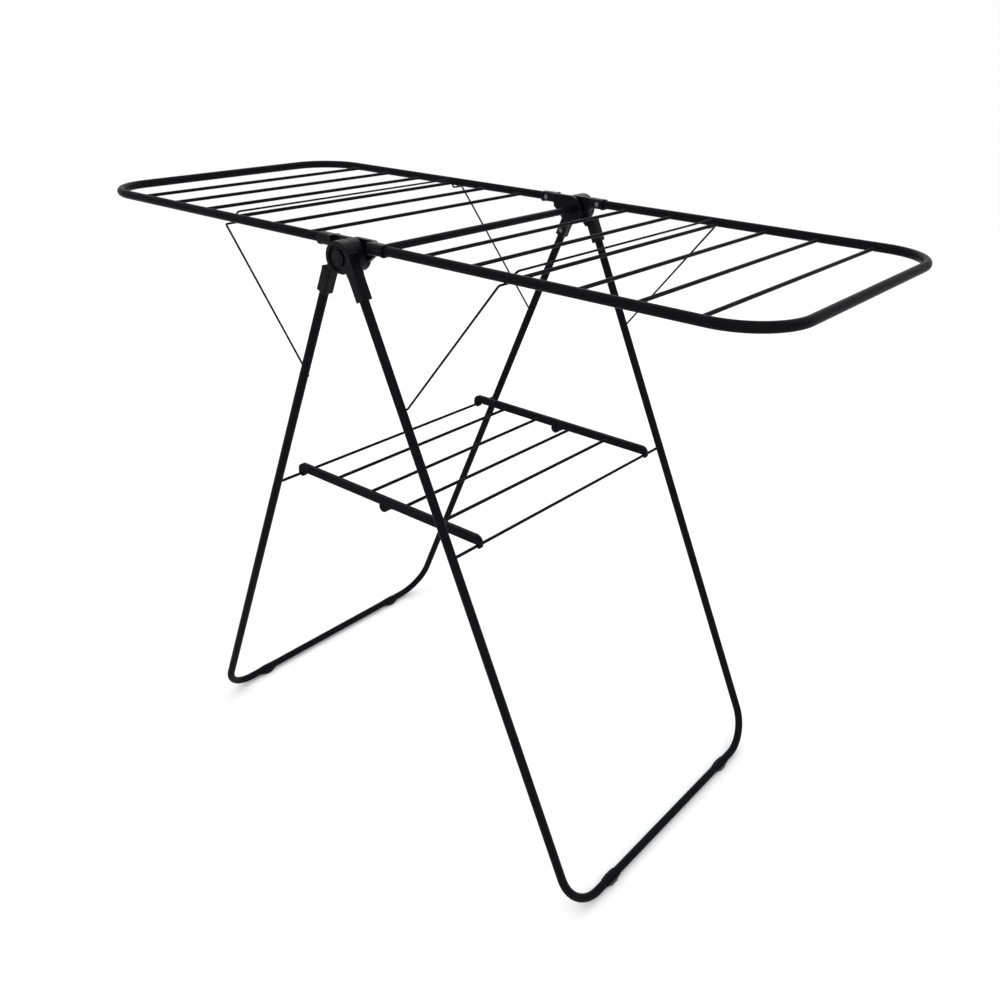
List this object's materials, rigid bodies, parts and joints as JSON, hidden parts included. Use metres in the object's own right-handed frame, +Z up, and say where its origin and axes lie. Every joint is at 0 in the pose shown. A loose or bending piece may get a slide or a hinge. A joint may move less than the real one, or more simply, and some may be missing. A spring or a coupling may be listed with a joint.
{
  "type": "folding clothes drying rack",
  "caption": "Free-standing folding clothes rack: crossed U-shaped legs hinged at the top, two fold-down wings with rungs, wire stays and a folding middle shelf.",
  "frame": {"origin": "on the floor, at the centre of the rack's footprint", "axes": "+X along the wings, +Y across the rack, +Z up"},
  "size_m": [1.325, 0.58, 0.995],
  "materials": {
    "black_steel": "black powder coat, satin",
    "black_plastic": "black moulded plastic, fine texture",
    "rivet_steel": "plain zinc-plated rivet"
  },
  "bodies": {
    "left_leg": {"left_leg_frame": "black_steel", "left_shelf_wire": "black_steel", "left_leg_knuckle_front": "black_plastic", "left_leg_rivet_front": "rivet_steel", "left_foot_pad_front": "black_plastic", "left_leg_knuckle_back": "black_plastic", "left_leg_rivet_back": "rivet_steel", "left_foot_pad_back": "black_plastic", "axle_tube": "black_steel"},
    "right_leg": {"right_leg_frame": "black_steel", "right_shelf_wire": "black_steel", "right_leg_knuckle_front": "black_plastic", "right_leg_rivet_front": "rivet_steel", "right_foot_pad_front": "black_plastic", "right_leg_knuckle_back": "black_plastic", "right_leg_rivet_back": "rivet_steel", "right_foot_pad_back": "black_plastic"},
    "left_wing": {"left_wing_frame": "black_steel", "left_wing_rung_1": "black_steel", "left_wing_rung_2": "black_steel", "left_wing_rung_3": "black_steel", "left_wing_rung_4": "black_steel", "left_wing_rung_5": "black_steel", "left_wing_rung_6": "black_steel", "left_wing_knuckle_front": "black_plastic", "left_wing_rivet_front": "rivet_steel", "left_wing_knuckle_back": "black_plastic", "left_wing_rivet_back": "rivet_steel"},
    "right_wing": {"right_wing_frame": "black_steel", "right_wing_rung_1": "black_steel", "right_wing_rung_2": "black_steel", "right_wing_rung_3": "black_steel", "right_wing_rung_4": "black_steel", "right_wing_rung_5": "black_steel", "right_wing_rung_6": "black_steel", "right_wing_knuckle_front": "black_plastic", "right_wing_rivet_front": "rivet_steel", "right_wing_knuckle_back": "black_plastic", "right_wing_rivet_back": "rivet_steel"},
    "left_stay": {"left_stay": "black_steel"},
    "right_stay": {"right_stay": "black_steel"},
    "shelf_left": {"shelf_left_rail_front": "black_steel", "shelf_left_rail_back": "black_steel", "shelf_left_rung_1": "black_steel", "shelf_left_rung_2": "black_steel", "shelf_hinge_pin_front": "black_steel", "shelf_hinge_pin_back": "black_steel"},
    "shelf_right": {"shelf_right_rail_front": "black_steel", "shelf_right_rail_back": "black_steel", "shelf_right_rung_1": "black_steel", "shelf_right_rung_2": "black_steel"}
  },
  "joints": [
    {"name": "leg_fold", "type": "hinge", "parent": "left_leg", "child": "right_leg", "pos_m": [0, 0, 0.971], "axis": [0, 1, 0], "range_deg": [0, 47.5]},
    {"name": "left_wing_fold", "type": "hinge", "parent": "left_leg", "child": "left_wing", "pos_m": [0, 0, 0.971], "axis": [0, -1, 0], "range_deg": [0, 61]},
    {"name": "right_wing_fold", "type": "hinge", "parent": "right_leg", "child": "right_wing", "pos_m": [0, 0, 0.971], "axis": [0, 1, 0], "range_deg": [0, 61]},
    {"name": "left_stay_swing", "type": "hinge", "parent": "left_wing", "child": "left_stay", "pos_m": [-0.281, 0, 0.9776], "axis": [0, 1, 0], "range_deg": [0, 123.22]},
    {"name": "right_stay_swing", "type": "hinge", "parent": "right_wing", "child": "right_stay", "pos_m": [0.281, 0, 0.9776], "axis": [0, -1, 0], "range_deg": [0, 123.22]},
    {"name": "shelf_left_fold", "type": "hinge", "parent": "left_leg", "child": "shelf_left", "pos_m": [-0.20205, 0, 0.56078], "axis": [0, -1, 0], "range_deg": [0, 60.59]},
    {"name": "shelf_mid_fold", "type": "hinge", "parent": "shelf_left", "child": "shelf_right", "pos_m": [0, 0, 0.56078], "axis": [0, 1, 0], "range_deg": [0, 168.67]}
  ],
  "couplings": [
    {"joint": "left_stay_swing", "follows": "left_wing_fold", "ratio": 2.02},
    {"joint": "right_stay_swing", "follows": "right_wing_fold", "ratio": 2.02},
    {"joint": "shelf_left_fold", "follows": "leg_fold", "ratio": 1.2755},
    {"joint": "shelf_mid_fold", "follows": "leg_fold", "ratio": 3.551}
  ]
}
